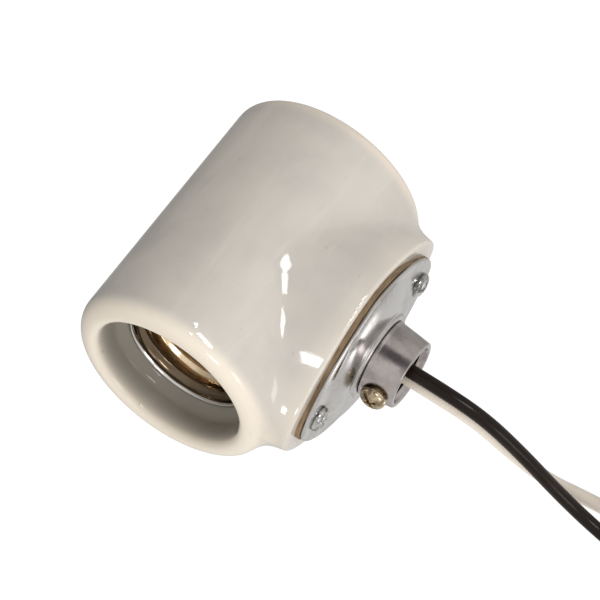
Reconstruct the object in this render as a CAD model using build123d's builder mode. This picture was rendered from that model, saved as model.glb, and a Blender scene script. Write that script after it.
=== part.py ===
from build123d import *
import os
from math import radians, tan

# Heat lamp fixture: a medium screw lampholder in one glazed porcelain body, lying on its side.
# Lamp axis along Y with the mouth facing -Y, side cap and its bushing facing +X, +Z up.
# All sizes in millimetres. Distances called "from the lamp axis" are measured along X.

# ---- driving dimensions ------------------------------------------------------------------
body_radius = 24.0
body_length = 66.0
mouth_edge_outer_radius = 4.5
mouth_edge_inner_radius = 1.9
back_edge_radius = 3.2
mouth_radius = 18.0
mouth_wall_depth = 7.0
shell_depth = 9.0
shell_well_radius = 15.5
floor_front = 2.0
floor_back = 7.0

lead_diameter = 3.2
lead_spacing = 3.4
sheet = 0.4

thread_pitch = 3.629
thread_crest_radius = 12.4
thread_root_radius = 13.35
crest_land = 0.6
thread_turns = 4
shell_cup_radius = 12.9
shell_rim_radius = 15.2
shell_base_hole_radius = 8.4

seat_reach = 28.6
gasket_thickness = 1.0
plate_thickness = 1.0
cap_radius = 20.5
ear_offset = 20.3
ear_radius = 5.7
boss_margin = 1.0
boss_ear_margin = 1.9
collar_radius = 10.3
collar_top_reach = 33.5
bushing_reach = 41.5
bushing_base_radius = 9.0
bushing_mouth_radius = 8.0
bushing_bore_radius = 6.2
pocket_radius = 14.0
pocket_floor_reach = 20.5

cap_screw_radius = 1.75
cap_screw_head_radius = 2.8
cap_screw_head_height = 1.9
insert_radius = 3.4
insert_length = 9.8

set_screw_reach = 37.5
set_screw_radius = 2.04
set_screw_hole_radius = 2.1
set_screw_head_radius = 3.05
set_screw_head_height = 2.1

strap_thickness = 0.8
strap_width = 5.0
rivet_radius = 1.1
rivet_head_radius = 1.8
terminal_y = -8.0
terminal_screw_radius = 1.6
live_z = 5.5
neutral_z = -3.7
shell_rivet_x = 9.7

# ---- frame -------------------------------------------------------------------------------
axis_x = -(bushing_reach - body_radius) / 2
axis_z = body_radius
mouth_y = -body_length / 2
back_y = body_length / 2
rim_y = mouth_y + shell_depth
plate_bottom = seat_reach + gasket_thickness
plate_top = plate_bottom + plate_thickness

lamp_axis = Axis((axis_x, 0, axis_z), (0, 1, 0))
side_axis = Axis((axis_x, 0, axis_z), (1, 0, 0))
# Half section through the lamp axis: local x runs along Y, local y is the radius, upwards.
lamp_section = Plane(origin=(axis_x, 0, axis_z), x_dir=(0, 1, 0), z_dir=(1, 0, 0))
# Half section through the bushing axis: local x runs along X, local y is the radius, upwards.
side_section = Plane(origin=(axis_x, 0, axis_z), x_dir=(1, 0, 0), z_dir=(0, -1, 0))


def facing_side(reach):
    """The plane square to X at this distance from the lamp axis, local x along Y, y along Z."""
    return Plane(origin=(axis_x + reach, 0, axis_z), x_dir=(0, 1, 0), z_dir=(1, 0, 0))


def facing_back(y):
    """The plane square to Y at this y, looking to the back, local x along X, y along -Z."""
    return Plane(origin=(axis_x, y, axis_z), x_dir=(1, 0, 0), z_dir=(0, 1, 0))


def write(name, piece):
    """Label a finished piece and write it as its own node."""
    piece.part.label = name
    export_step(piece.part, f"parts/{name}.step")


def bend_radii(points):
    """The largest arc at each corner that its two straight runs allow."""
    corners = [Vector(*p) for p in points]
    radii = []
    for before, here, after in zip(corners, corners[1:], corners[2:]):
        run_in = here - before
        run_out = after - here
        half_turn = radians(run_in.get_angle(run_out)) / 2
        radii.append(0.45 * min(run_in.length, run_out.length) / tan(half_turn))
    return radii


def route(points):
    """Points given from the lamp axis, in the part's own frame."""
    return [(axis_x + x, y, axis_z + z) for x, y, z in points]


os.makedirs("parts", exist_ok=True)

# ---- porcelain body ----------------------------------------------------------------------
# One fired piece: a thick cylinder, a round boss on its side with two ears for the cap screws,
# the lamp's mouth and well at one end, and the wiring pocket under the cap.
with BuildPart() as porcelain_body:
    with BuildSketch(lamp_section) as body_half:
        with BuildLine():
            Polyline(
                (mouth_y, 0),
                (mouth_y, body_radius),
                (back_y, body_radius),
                (back_y, 0),
                close=True,
            )
        make_face()
        outer_corners = body_half.vertices().group_by(Axis.Y)[-1].sort_by(Axis.X)
        fillet(outer_corners[0], radius=mouth_edge_outer_radius)
        fillet(outer_corners[-1], radius=back_edge_radius)
    revolve(axis=lamp_axis)
    with BuildSketch(facing_side(seat_reach)):
        Circle(cap_radius + boss_margin)
        with Locations((-ear_offset, 0), (ear_offset, 0)):
            Circle(ear_radius + boss_ear_margin)
        make_hull()
    extrude(amount=-seat_reach)
    # the lamp's mouth, with its rounded inner edge, the sloping step and the well for the shell
    with BuildSketch(lamp_section):
        with BuildLine():
            step_y = mouth_y + mouth_wall_depth
            edge_y = mouth_y + mouth_edge_inner_radius
            edge_radius = mouth_radius + mouth_edge_inner_radius
            Polyline(
                (edge_y, mouth_radius),
                (step_y, mouth_radius),
                (rim_y, shell_well_radius),
                (floor_front, shell_well_radius),
                (floor_front, 0),
                (mouth_y, 0),
                (mouth_y, edge_radius),
            )
            RadiusArc((mouth_y, edge_radius), (edge_y, mouth_radius), -mouth_edge_inner_radius)
        make_face()
    revolve(axis=lamp_axis, mode=Mode.SUBTRACT)
    # the wiring pocket under the cap, and the slot behind the floor that it opens into
    with BuildSketch(facing_side(seat_reach)):
        Circle(pocket_radius)
    extrude(amount=pocket_floor_reach - seat_reach, mode=Mode.SUBTRACT)
    slot_width = 22.0
    slot_far_x = -14.0
    slot_end_y = 13.2
    with BuildSketch(facing_back(floor_back)):
        with Locations(((slot_far_x + pocket_floor_reach + 1) / 2, 0)):
            Rectangle(pocket_floor_reach + 1 - slot_far_x, slot_width)
    extrude(amount=slot_end_y - floor_back, mode=Mode.SUBTRACT)
    # holes: two for the cap screw inserts, three through the floor, two under the terminals
    with BuildSketch(facing_side(seat_reach)):
        with Locations((-ear_offset, 0), (ear_offset, 0)):
            Circle(insert_radius)
    extrude(amount=-insert_length - 0.2, mode=Mode.SUBTRACT)
    with BuildSketch(facing_back(floor_front)):
        with Locations((0, -live_z), (shell_rivet_x, -neutral_z), (-shell_rivet_x, neutral_z)):
            Circle(rivet_radius)
    extrude(amount=floor_back - floor_front, mode=Mode.SUBTRACT)
    with BuildSketch(facing_side(pocket_floor_reach)):
        with Locations((terminal_y, live_z), (terminal_y, neutral_z)):
            Circle(terminal_screw_radius + 0.3)
    extrude(amount=-3.0, mode=Mode.SUBTRACT)
write("porcelain_body", porcelain_body)

# ---- screw shell -------------------------------------------------------------------------
# Pressed from thin sheet: a flared rim, rounded threads for a medium lamp cap, and a flat base.
first_crest_y = rim_y + 3.2
shell_base_y = floor_front - strap_thickness
with BuildPart() as screw_shell:
    with BuildSketch(lamp_section):
        with BuildLine():
            crest_y = first_crest_y
            Line((rim_y, shell_rim_radius - sheet), (rim_y + 1.0, thread_root_radius + 0.1))
            Line((rim_y + 1.0, thread_root_radius + 0.1), (first_crest_y - 0.9, thread_root_radius))
            Line((first_crest_y - 0.9, thread_root_radius), (first_crest_y, thread_crest_radius))
            for turn in range(thread_turns):
                Line((crest_y, thread_crest_radius), (crest_y + crest_land, thread_crest_radius))
                root_y = crest_y + (thread_pitch + crest_land) / 2
                ThreePointArc(
                    (crest_y + crest_land, thread_crest_radius),
                    (root_y, thread_root_radius),
                    (crest_y + thread_pitch, thread_crest_radius),
                )
                crest_y += thread_pitch
            Polyline(
                (crest_y, thread_crest_radius),
                (crest_y + crest_land, thread_crest_radius),
                (crest_y + 1.6, shell_cup_radius),
                (shell_base_y - sheet, shell_cup_radius),
                (shell_base_y - sheet, shell_base_hole_radius),
                (shell_base_y, shell_base_hole_radius),
                (shell_base_y, shell_cup_radius + sheet),
                (crest_y + 1.5, shell_cup_radius + sheet),
                (crest_y + crest_land, thread_crest_radius + sheet),
                (crest_y, thread_crest_radius + sheet),
            )
            for turn in range(thread_turns):
                crest_y -= thread_pitch
                root_y = crest_y + (thread_pitch + crest_land) / 2
                ThreePointArc(
                    (crest_y + thread_pitch, thread_crest_radius + sheet),
                    (root_y, thread_root_radius + sheet),
                    (crest_y + crest_land, thread_crest_radius + sheet),
                )
                Line(
                    (crest_y + crest_land, thread_crest_radius + sheet),
                    (crest_y, thread_crest_radius + sheet),
                )
            Polyline(
                (first_crest_y, thread_crest_radius + sheet),
                (first_crest_y - 0.9, thread_root_radius + sheet),
                (rim_y + 1.2, thread_root_radius + sheet + 0.1),
                (rim_y + 0.2, shell_rim_radius),
                (rim_y, shell_rim_radius - sheet),
            )
        make_face()
    revolve(axis=lamp_axis)
    with BuildSketch(facing_back(shell_base_y - sheet)):
        with Locations((shell_rivet_x, -neutral_z), (-shell_rivet_x, neutral_z)):
            Circle(rivet_radius)
    extrude(amount=sheet, mode=Mode.SUBTRACT)
write("screw_shell", screw_shell)

# ---- insulating washer between the shell's base and the floor ------------------------------
with BuildPart() as insulating_washer:
    with BuildSketch(facing_back(shell_base_y)):
        Circle(shell_cup_radius + sheet)
        Circle(shell_base_hole_radius - 0.5, mode=Mode.SUBTRACT)
        with Locations((shell_rivet_x, -neutral_z), (-shell_rivet_x, neutral_z)):
            Circle(rivet_radius, mode=Mode.SUBTRACT)
    extrude(amount=strap_thickness)
write("insulating_washer", insulating_washer)

# ---- rivets through the floor ---------------------------------------------------------------
strap_back = floor_back + strap_thickness


def rivet(x, down, head_y, tail_y):
    """A tubular rivet along Y, with its head at the front and its rolled tail at the back."""
    with BuildPart() as one:
        with BuildSketch(facing_back(head_y)):
            with Locations((x, down)):
                Circle(rivet_radius)
        extrude(amount=tail_y - head_y)
        with BuildSketch(facing_back(head_y)):
            with Locations((x, down)):
                Circle(rivet_head_radius)
        extrude(amount=-0.7)
        with BuildSketch(facing_back(tail_y)):
            with Locations((x, down)):
                Circle(rivet_head_radius * 0.9)
        extrude(amount=0.7)
    return one.part


neutral_rivet = rivet(shell_rivet_x, -neutral_z, shell_base_y - sheet, strap_back)
plain_rivet = rivet(-shell_rivet_x, neutral_z, shell_base_y - sheet, floor_back)
with BuildPart() as shell_rivets:
    add(neutral_rivet)
    add(plain_rivet)
write("shell_rivets", shell_rivets)

foot_y = floor_front - 0.5
with BuildPart() as contact_rivet:
    add(rivet(0, -live_z, foot_y, strap_back))
write("contact_rivet", contact_rivet)

# ---- centre contact -------------------------------------------------------------------------
# A springy bronze strip: its foot is riveted to the floor, and its tongue reaches over the lamp
# axis and gives when a lamp is screwed in. The strip bends at the hinge line between the two.
contact_width = 5.0
hinge_z = 2.9
foot_end_z = 7.3
with BuildPart() as contact_foot:
    with BuildSketch(facing_back(foot_y)):
        with Locations((0, -(hinge_z + 0.4 + foot_end_z) / 2)):
            Rectangle(contact_width, foot_end_z - hinge_z - 0.4)
        with Locations((0, -live_z)):
            Circle(rivet_radius, mode=Mode.SUBTRACT)
    extrude(amount=0.5)
write("contact_foot", contact_foot)

with BuildPart() as contact_tongue:
    with BuildSketch(lamp_section):
        with BuildLine():
            Polyline(
                (foot_y + 0.05, hinge_z),
                (foot_y - 4.3, 1.2),
                (foot_y - 4.8, 0),
                (foot_y - 4.3, -1.2),
                (foot_y - 2.3, -3.4),
                (foot_y - 1.9, -3.1),
                (foot_y - 3.9, -0.9),
                (foot_y - 4.3, 0),
                (foot_y - 3.9, 0.9),
                (foot_y + 0.45, hinge_z - 0.3),
                close=True,
            )
        make_face()
    extrude(amount=contact_width / 2, both=True)
write("contact_tongue", contact_tongue)

# ---- terminal straps, from the rivets behind the floor to the screws under the cap ------------
strap_end_y = terminal_y - 3.2


def strap(first_x, z, rivet_x):
    """An L of brass strip: one leg flat behind the floor, the other on the pocket's floor."""
    with BuildPart() as one:
        pad_top = pocket_floor_reach + strap_thickness
        with BuildSketch(facing_back(floor_back)):
            with Locations(((first_x + pad_top) / 2, -z)):
                Rectangle(pad_top - first_x, strap_width)
            with Locations((rivet_x, -z)):
                Circle(rivet_radius, mode=Mode.SUBTRACT)
        extrude(amount=strap_thickness)
        with BuildSketch(facing_side(pocket_floor_reach)):
            with Locations(((strap_end_y + strap_back) / 2, z)):
                Rectangle(strap_back - strap_end_y, strap_width)
            with Locations((terminal_y, z)):
                Circle(terminal_screw_radius, mode=Mode.SUBTRACT)
        extrude(amount=strap_thickness)
    return one


live_strap = strap(-2.6, live_z, 0)
write("live_strap", live_strap)
neutral_strap = strap(shell_rivet_x - 2.6, neutral_z, shell_rivet_x)
write("neutral_strap", neutral_strap)

# ---- terminals: a crimped ring on each lead's end, under a binding screw -----------------------
ring_bottom = pocket_floor_reach + strap_thickness
barrel_radius = 1.7
barrel_start_y = terminal_y + 3.0
barrel_length = 5.0


def ring_terminal(z):
    """A stamped ring with the crimp barrel that holds the conductor."""
    with BuildPart() as one:
        with BuildSketch(facing_side(ring_bottom)):
            with Locations((terminal_y, z)):
                Circle(3.1)
            with Locations((terminal_y + 2.4, z)):
                Rectangle(3.2, 2.6)
            with Locations((terminal_y, z)):
                Circle(terminal_screw_radius, mode=Mode.SUBTRACT)
        extrude(amount=0.8)
        with BuildSketch(facing_back(barrel_start_y)):
            with Locations((ring_bottom + barrel_radius, -z)):
                Circle(barrel_radius)
        extrude(amount=barrel_length)
    return one


def binding_screw(z):
    """A pan head screw with a straight slot, its shank in the strap's tapped hole."""
    with BuildPart() as one:
        with BuildSketch(facing_side(ring_bottom + 0.8)):
            with Locations((terminal_y, z)):
                Circle(2.9)
        extrude(amount=1.7)
        fillet(one.faces().sort_by(Axis.X)[-1].edges(), radius=0.6)
        with BuildSketch(facing_side(ring_bottom + 0.8 + 1.7)):
            with Locations((terminal_y, z)):
                Rectangle(0.9, 6.4)
        extrude(amount=-0.9, mode=Mode.SUBTRACT)
        with BuildSketch(facing_side(ring_bottom + 0.8)):
            with Locations((terminal_y, z)):
                Circle(terminal_screw_radius)
        extrude(amount=-4.0)
    return one


write("live_ring_terminal", ring_terminal(live_z))
write("neutral_ring_terminal", ring_terminal(neutral_z))
write("live_terminal_screw", binding_screw(live_z))
write("neutral_terminal_screw", binding_screw(neutral_z))

# ---- threaded inserts cemented in the porcelain for the cap screws -----------------------------
screw_length = 8.6
with BuildPart() as screw_inserts:
    with BuildSketch(facing_side(seat_reach - 0.2)):
        with Locations((-ear_offset, 0), (ear_offset, 0)):
            Circle(insert_radius)
            Circle(cap_screw_radius, mode=Mode.SUBTRACT)
    extrude(amount=-insert_length)
write("screw_inserts", screw_inserts)

# ---- fibre gasket under the cap -----------------------------------------------------------------
with BuildPart() as fibre_gasket:
    with BuildSketch(facing_side(seat_reach)):
        Circle(cap_radius + 0.3)
        with Locations((-ear_offset, 0), (ear_offset, 0)):
            Circle(ear_radius + 0.3)
        make_hull()
        Circle(pocket_radius, mode=Mode.SUBTRACT)
        with Locations((-ear_offset, 0), (ear_offset, 0)):
            Circle(cap_screw_radius + 0.25, mode=Mode.SUBTRACT)
    extrude(amount=gasket_thickness)
write("fibre_gasket", fibre_gasket)

# ---- cap plate: a round dome with two flat ears and a raised collar -------------------------------
plate_hole_radius = 7.5
dome_top = collar_top_reach - 0.8
with BuildPart() as cap_plate:
    with BuildSketch(facing_side(plate_bottom)):
        Circle(cap_radius)
        with Locations((-ear_offset, 0), (ear_offset, 0)):
            Circle(ear_radius)
        make_hull()
        Circle(15.0, mode=Mode.SUBTRACT)
        with Locations((-ear_offset, 0), (ear_offset, 0)):
            Circle(cap_screw_radius + 0.25, mode=Mode.SUBTRACT)
    extrude(amount=plate_thickness)
    with BuildSketch(side_section):
        with BuildLine():
            Polyline(
                (plate_bottom, 15.4),
                (plate_bottom, 14.6),
                (dome_top - plate_thickness, 11.0),
                (dome_top - plate_thickness, plate_hole_radius),
                (collar_top_reach, plate_hole_radius),
                (collar_top_reach, collar_radius - 0.5),
                (collar_top_reach - 0.5, collar_radius),
                (dome_top, collar_radius),
            )
            ThreePointArc(
                (dome_top, collar_radius),
                ((dome_top + plate_top) / 2 + 0.5, (collar_radius + 17.0) / 2),
                (plate_top, 17.0),
            )
            Line((plate_top, 17.0), (plate_bottom, 15.4))
        make_face()
    revolve(axis=side_axis)
write("cap_plate", cap_plate)

# ---- cap bushing: tapped for a pipe nipple, swaged into the plate ---------------------------------
lip_reach = dome_top - plate_thickness
with BuildPart() as cap_bushing:
    with BuildSketch(side_section):
        with BuildLine():
            Polyline(
                (lip_reach - 0.9, bushing_bore_radius),
                (lip_reach - 0.9, plate_hole_radius + 0.9),
                (lip_reach, plate_hole_radius + 0.9),
                (lip_reach, plate_hole_radius),
                (collar_top_reach, plate_hole_radius),
                (collar_top_reach, bushing_base_radius),
                (bushing_reach - 0.5, bushing_mouth_radius),
                (bushing_reach, bushing_mouth_radius - 0.5),
                (bushing_reach, bushing_bore_radius + 0.7),
                (bushing_reach - 0.7, bushing_bore_radius),
                close=True,
            )
        make_face()
    revolve(axis=side_axis)
    with BuildSketch(facing_back(0)):
        with Locations((set_screw_reach, 0)):
            Circle(set_screw_hole_radius)
    extrude(amount=-12.0, mode=Mode.SUBTRACT)
write("cap_bushing", cap_bushing)

# ---- cap screws: round heads with a slot and cross recess ------------------------------------------
with BuildPart() as cap_screws:
    with BuildSketch(facing_side(plate_top)):
        with Locations((-ear_offset, 0), (ear_offset, 0)):
            Circle(cap_screw_head_radius)
    extrude(amount=cap_screw_head_height)
    fillet(cap_screws.faces().group_by(Axis.X)[-1].edges(), radius=1.1)
    with BuildSketch(facing_side(plate_top + cap_screw_head_height)):
        with Locations((-ear_offset, 0), (ear_offset, 0)):
            Rectangle(0.8, 5.8, rotation=35)
            Rectangle(0.7, 3.0, rotation=125)
    extrude(amount=-0.9, mode=Mode.SUBTRACT)
    with BuildSketch(facing_side(plate_top)):
        with Locations((-ear_offset, 0), (ear_offset, 0)):
            Circle(cap_screw_radius)
    extrude(amount=-screw_length)
write("cap_screws", cap_screws)

# ---- set screw that locks the pipe nipple in the bushing, pointing to the mouth side ----------------
set_screw_seat_y = -8.9
set_screw_tip_y = -4.9
with BuildPart() as set_screw:
    with BuildSketch(facing_back(set_screw_seat_y)):
        with Locations((set_screw_reach, 0)):
            Circle(set_screw_head_radius)
    extrude(amount=-set_screw_head_height)
    fillet(set_screw.faces().sort_by(Axis.Y)[0].edges(), radius=0.9)
    with BuildSketch(facing_back(set_screw_seat_y - set_screw_head_height)):
        with Locations((set_screw_reach, 0)):
            Rectangle(6.4, 0.9, rotation=20)
            Rectangle(3.4, 0.8, rotation=110)
    extrude(amount=1.0, mode=Mode.SUBTRACT)
    with BuildSketch(facing_back(set_screw_seat_y)):
        with Locations((set_screw_reach, 0)):
            Circle(set_screw_radius)
    extrude(amount=set_screw_tip_y - set_screw_seat_y)
write("set_screw", set_screw)

# ---- leads ---------------------------------------------------------------------------------------
# Each lead is one wire. Its free stretch starts at the bushing's mouth, 152 mm long, and the rest
# runs inside to its ring terminal. Heights here are from the lamp axis; the table is at -24.
upper = lead_spacing / 2
table = -axis_z + lead_diameter / 2

black_route = [
    (bushing_reach, 0.0, upper),
    (49.5, 0.0, upper),
    (60.0, 0.7, -0.8),
    (70.0, 2.0, -8.3),
    (79.0, 3.4, -16.8),
    (88.5, 3.8, table),
    (102.0, 1.4, table),
    (115.0, -5.2, table),
    (125.0, -15.8, table),
    (130.0, -28.8, table),
    (128.6, -41.6, table),
    (120.2, -51.6, table),
    (107.8, -56.4, table),
]
white_route = [
    (bushing_reach, 0.0, -upper),
    (49.0, 0.0, -upper),
    (58.4, 1.2, -4.6),
    (67.0, 3.4, -12.4),
    (75.5, 6.2, -20.0),
    (85.5, 8.8, table),
    (97.5, 9.4, table),
    (110.0, 7.0, table),
    (122.5, 2.0, table),
    (133.0, -6.0, table),
    (140.5, -16.5, table),
    (143.5, -29.0, table),
    (140.5, -41.5, table),
    (133.0, -50.5, table),
]
pocket_lead_x = ring_bottom + barrel_radius
black_inner_route = [
    (pocket_lead_x, barrel_start_y + barrel_length, live_z),
    (pocket_lead_x, 4.8, live_z),
    (27.0, 6.0, 4.6),
    (30.2, 1.4, 2.2),
    (33.4, 0.0, upper),
    (bushing_reach, 0.0, upper),
]
white_inner_route = [
    (pocket_lead_x, barrel_start_y + barrel_length, neutral_z),
    (pocket_lead_x, 4.8, neutral_z),
    (27.0, 6.0, -3.2),
    (30.2, 1.4, -1.9),
    (33.4, 0.0, -upper),
    (bushing_reach, 0.0, -upper),
]


def lead(name, points, diameter):
    """A round wire along straight runs joined by tangent arcs."""
    path_points = route(points)
    radii = bend_radii(path_points)
    with BuildPart() as one:
        with BuildLine() as path:
            FilletPolyline(*path_points, radius=radii)
        centre_line = path.wires()[0]
        start = Plane(origin=centre_line @ 0, z_dir=centre_line % 0)
        with BuildSketch(start):
            Circle(diameter / 2)
        sweep(path=centre_line)
    length = centre_line.length
    share = one.part.volume / (3.14159265 * diameter**2 / 4 * length)
    print(name, "length", round(length, 1), "volume share", round(share, 4))
    print(name, "radii", [round(r, 1) for r in radii])
    write(name, one)
    return centre_line


black_line = lead("black_lead", black_route, lead_diameter)
white_line = lead("white_lead", white_route, lead_diameter)
lead("black_lead_inner", black_inner_route, lead_diameter)
lead("white_lead_inner", white_inner_route, lead_diameter)

# ---- stripped ends: the twisted strands that stand out of each lead's insulation ---------------------
strand_radius = 0.55
strip_length = 10.0


def stripped_end(name, line):
    """The bare conductor that carries on straight from the lead's end."""
    with BuildPart() as one:
        with BuildSketch(Plane(origin=line @ 1, z_dir=line % 1)):
            Circle(strand_radius)
        extrude(amount=strip_length)
    write(name, one)


stripped_end("black_lead_strands", black_line)
stripped_end("white_lead_strands", white_line)
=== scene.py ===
# %% [markdown]
# # A heat lamp holder in glazed porcelain
# The object is a lampholder for a poultry or livestock heat lamp. A thick porcelain tube holds a
# threaded brass shell for the lamp, and a metal cap on its side carries a short bushing with two
# leads. The working parts come from the imported model, and this lesson gives them their looks.

# %% Load the imported model
import math
import bmesh
import bpy
import numpy as np
from mathutils import Matrix, Vector


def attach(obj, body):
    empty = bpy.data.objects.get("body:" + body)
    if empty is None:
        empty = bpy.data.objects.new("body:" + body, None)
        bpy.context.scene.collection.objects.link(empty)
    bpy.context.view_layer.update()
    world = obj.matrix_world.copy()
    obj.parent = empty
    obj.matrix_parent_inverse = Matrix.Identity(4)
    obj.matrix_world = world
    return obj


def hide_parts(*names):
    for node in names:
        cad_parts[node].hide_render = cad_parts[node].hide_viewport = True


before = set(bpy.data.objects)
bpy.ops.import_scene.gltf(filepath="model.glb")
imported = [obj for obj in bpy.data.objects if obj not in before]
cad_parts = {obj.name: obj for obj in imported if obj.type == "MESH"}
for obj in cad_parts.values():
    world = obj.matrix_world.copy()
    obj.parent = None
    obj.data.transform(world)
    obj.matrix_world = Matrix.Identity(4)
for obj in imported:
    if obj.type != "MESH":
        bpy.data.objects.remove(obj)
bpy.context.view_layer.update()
print("nodes:", len(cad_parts))

# %% [markdown]
# Everything is in metres, but a maker thinks of this holder in millimetres, so one factor turns
# millimetres into metres. The lamp's axis runs along Y; the side cap and its bushing point to +X.
# The sizes that several pieces share are named here once. They are in millimetres from that axis
# and from the middle of the tube's length.

# %% The two axes of the holder and the shared sizes
mm = 0.001
axis_x = -8.75 * mm
axis_z = 24.0 * mm
lamp_centre = Vector((axis_x, 0, axis_z))
tube_radius = 24.0
tube_end = 33.0
mouth_radius = 18.0
well_radius = 15.5
well_floor = 2.0
cap_half_length = 26.0
cap_half_width = 20.5
boss_top = 28.6
plate_bottom = 29.6
plate_top = 30.6
collar_top = 33.5
collar_hole = 7.5
bushing_mouth = 41.5
lead_offset = 1.7
print("lamp axis at x", axis_x, "z", axis_z)

# %% [markdown]
# The camera stands above the table, in front of the lamp's mouth and a little to the cap's side.
# Its place is built from the view's compass angle, its height angle and a slight lean, so that
# each can be changed alone. A long lens keeps the porcelain's sides nearly parallel.

# %% Camera
azimuth = math.radians(26.03)
elevation = math.radians(58.93)
lean = math.radians(8.54)
camera_distance = 0.7031
forward = Vector((
    -math.sin(azimuth) * math.cos(elevation),
    math.cos(azimuth) * math.cos(elevation),
    -math.sin(elevation),
))
level_right = Vector((math.cos(azimuth), math.sin(azimuth), 0))
level_up = level_right.cross(forward)
right = level_right * math.cos(lean) + level_up * math.sin(lean)
up = level_up * math.cos(lean) - level_right * math.sin(lean)
camera_data = bpy.data.cameras.new("camera")
camera_data.sensor_width = 36
camera_data.lens = 194.3
camera_data.shift_x = 0.0829
camera_data.shift_y = -0.0361
camera_data.clip_start = 0.05
camera = bpy.data.objects.new("camera", camera_data)
turn = Matrix((right, up, -forward)).transposed().to_4x4()
camera.matrix_world = Matrix.Translation(lamp_centre - forward * camera_distance) @ turn
bpy.context.collection.objects.link(camera)
bpy.context.scene.camera = camera
print("camera at", [round(value, 3) for value in camera.matrix_world.translation])

# %% [markdown]
# Two leads leave the bushing one above the other, droop to the table and lie there in loose
# curves. A real lead bends evenly under its own weight, so each is one smooth NURBS curve: its
# points only pull the line, and it never kinks. The stripped ends are added further on.

# %% Lead routes, from the lamp axis, in millimetres
lead_diameter = 3.2
resting = -24.0 + lead_diameter / 2
black_route = [
    (bushing_mouth, 0.0, lead_offset),
    (49.5, 0.0, lead_offset),
    (60.0, 0.7, -0.8),
    (70.0, 2.0, -8.3),
    (79.0, 3.4, -16.8),
    (88.5, 3.8, resting),
    (102.0, 1.4, resting),
    (115.0, -5.2, resting),
    (125.0, -15.8, resting),
    (130.0, -28.8, resting),
    (128.6, -41.6, resting),
    (120.2, -51.6, resting),
    (107.8, -56.4, resting),
]
white_route = [
    (bushing_mouth, 0.0, -lead_offset),
    (49.0, 0.0, -lead_offset),
    (58.4, 1.2, -4.6),
    (67.0, 3.4, -12.4),
    (75.5, 6.2, -20.0),
    (85.5, 8.8, resting),
    (97.5, 9.4, resting),
    (110.0, 7.0, resting),
    (122.5, 2.0, resting),
    (133.0, -6.0, resting),
    (140.5, -16.5, resting),
    (143.5, -29.0, resting),
    (140.5, -41.5, resting),
    (133.0, -50.5, resting),
]


def from_axis(x, y, z):
    """A point given in millimetres from the lamp axis, in metres in the model's frame."""
    return Vector((axis_x + x * mm, y * mm, axis_z + z * mm))


print("points on the leads' routes:", len(black_route), len(white_route))

# %% [markdown]
# A lead could be a tube swept by hand, but a curve with a round bevel stays easy to change and
# bends without a crease. Blender multiplies the bevel's depth by the radius of each point. The
# depth is therefore 1 here, and the points carry the lead's real radius in metres.

# %% Draw a lead as one smooth curve
def draw_lead(name, route, diameter):
    """A round lead along one NURBS curve through the pull of its route points."""
    data = bpy.data.curves.new(name, "CURVE")
    data.dimensions = "3D"
    spline = data.splines.new("NURBS")
    spline.points.add(len(route) - 1)
    for point, place in zip(spline.points, route):
        point.co = (*from_axis(*place), 1)
        point.radius = diameter / 2 * mm
    spline.order_u = 3
    spline.use_endpoint_u = True
    spline.resolution_u = 12
    data.bevel_depth = 1.0
    data.bevel_resolution = 6
    data.use_fill_caps = True
    lead = bpy.data.objects.new(name, data)
    bpy.context.collection.objects.link(lead)
    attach(lead, "holder")
    return lead


black_lead = draw_lead("black_lead_wire", black_route, lead_diameter)
white_lead = draw_lead("white_lead_wire", white_route, lead_diameter)
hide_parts("black_lead")
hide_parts("white_lead")
print("leads drawn:", black_lead.name, white_lead.name)

# %% [markdown]
# The conductor of a lead is a bundle of fine tinned strands. Where the insulation is stripped off
# they stand out as a loosely twisted brush. Each strand is a thin curve that winds round the
# lead's own direction, read from the end of the curve above, so it always fits the lead.

# %% Stripped strands
def end_of_lead(lead):
    """The last point of a lead's centre line and its direction there."""
    thin = lead.data.copy()
    thin.bevel_depth = 0
    helper = bpy.data.objects.new("centre_line", thin)
    line = bpy.data.meshes.new_from_object(helper)
    points = [vertex.co.copy() for vertex in line.vertices]
    bpy.data.objects.remove(helper)
    bpy.data.meshes.remove(line)
    bpy.data.curves.remove(thin)
    return points[-1], (points[-1] - points[-2]).normalized()


def strand_bundle(name, lead, length=10.0, radius=0.55, strand=0.2):
    """Eight fine wires that twist round a ninth past the end of a lead."""
    steps = 24
    turn_per_mm = 0.32
    splay = 0.12
    end, direction = end_of_lead(lead)
    across = direction.cross(Vector((0, 0, 1))).normalized()
    above = across.cross(direction).normalized()
    data = bpy.data.curves.new(name, "CURVE")
    data.dimensions = "3D"
    offsets = [(0.0, 0.0)] + [(radius - strand, math.tau * wire / 8) for wire in range(8)]
    for number, (reach, phase) in enumerate(offsets):
        spline = data.splines.new("POLY")
        spline.points.add(steps)
        reach_end = length * (1 - 0.03 * (number % 3))
        for step, point in enumerate(spline.points):
            along = reach_end * step / steps
            angle = phase + along * turn_per_mm
            spread = reach * (1 + splay * (along / length) ** 2 * math.sin(3.1 * number))
            offset = across * math.cos(angle) * spread + above * math.sin(angle) * spread
            point.co = (*(end + direction * along * mm + offset * mm), 1)
            point.radius = strand * mm
    data.bevel_depth = 1.0
    data.bevel_resolution = 2
    data.use_fill_caps = True
    bundle = bpy.data.objects.new(name, data)
    bpy.context.collection.objects.link(bundle)
    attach(bundle, "holder")
    return bundle


black_strands = strand_bundle("black_lead_brush", black_lead)
white_strands = strand_bundle("white_lead_brush", white_lead)
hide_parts("black_lead_strands")
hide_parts("white_lead_strands")
print("strands in each brush:", len(black_strands.data.splines))

# %% [markdown]
# A lead is limp, and whoever uses the holder may want it to lie another way. The loop below only
# works out the point where each lead leaves the bushing, and keeps nothing of it.

for lead, route, brush in (
    (black_lead, black_route, black_strands),
    (white_lead, white_route, white_strands),
):
    tuple(from_axis(*route[0]))

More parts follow.
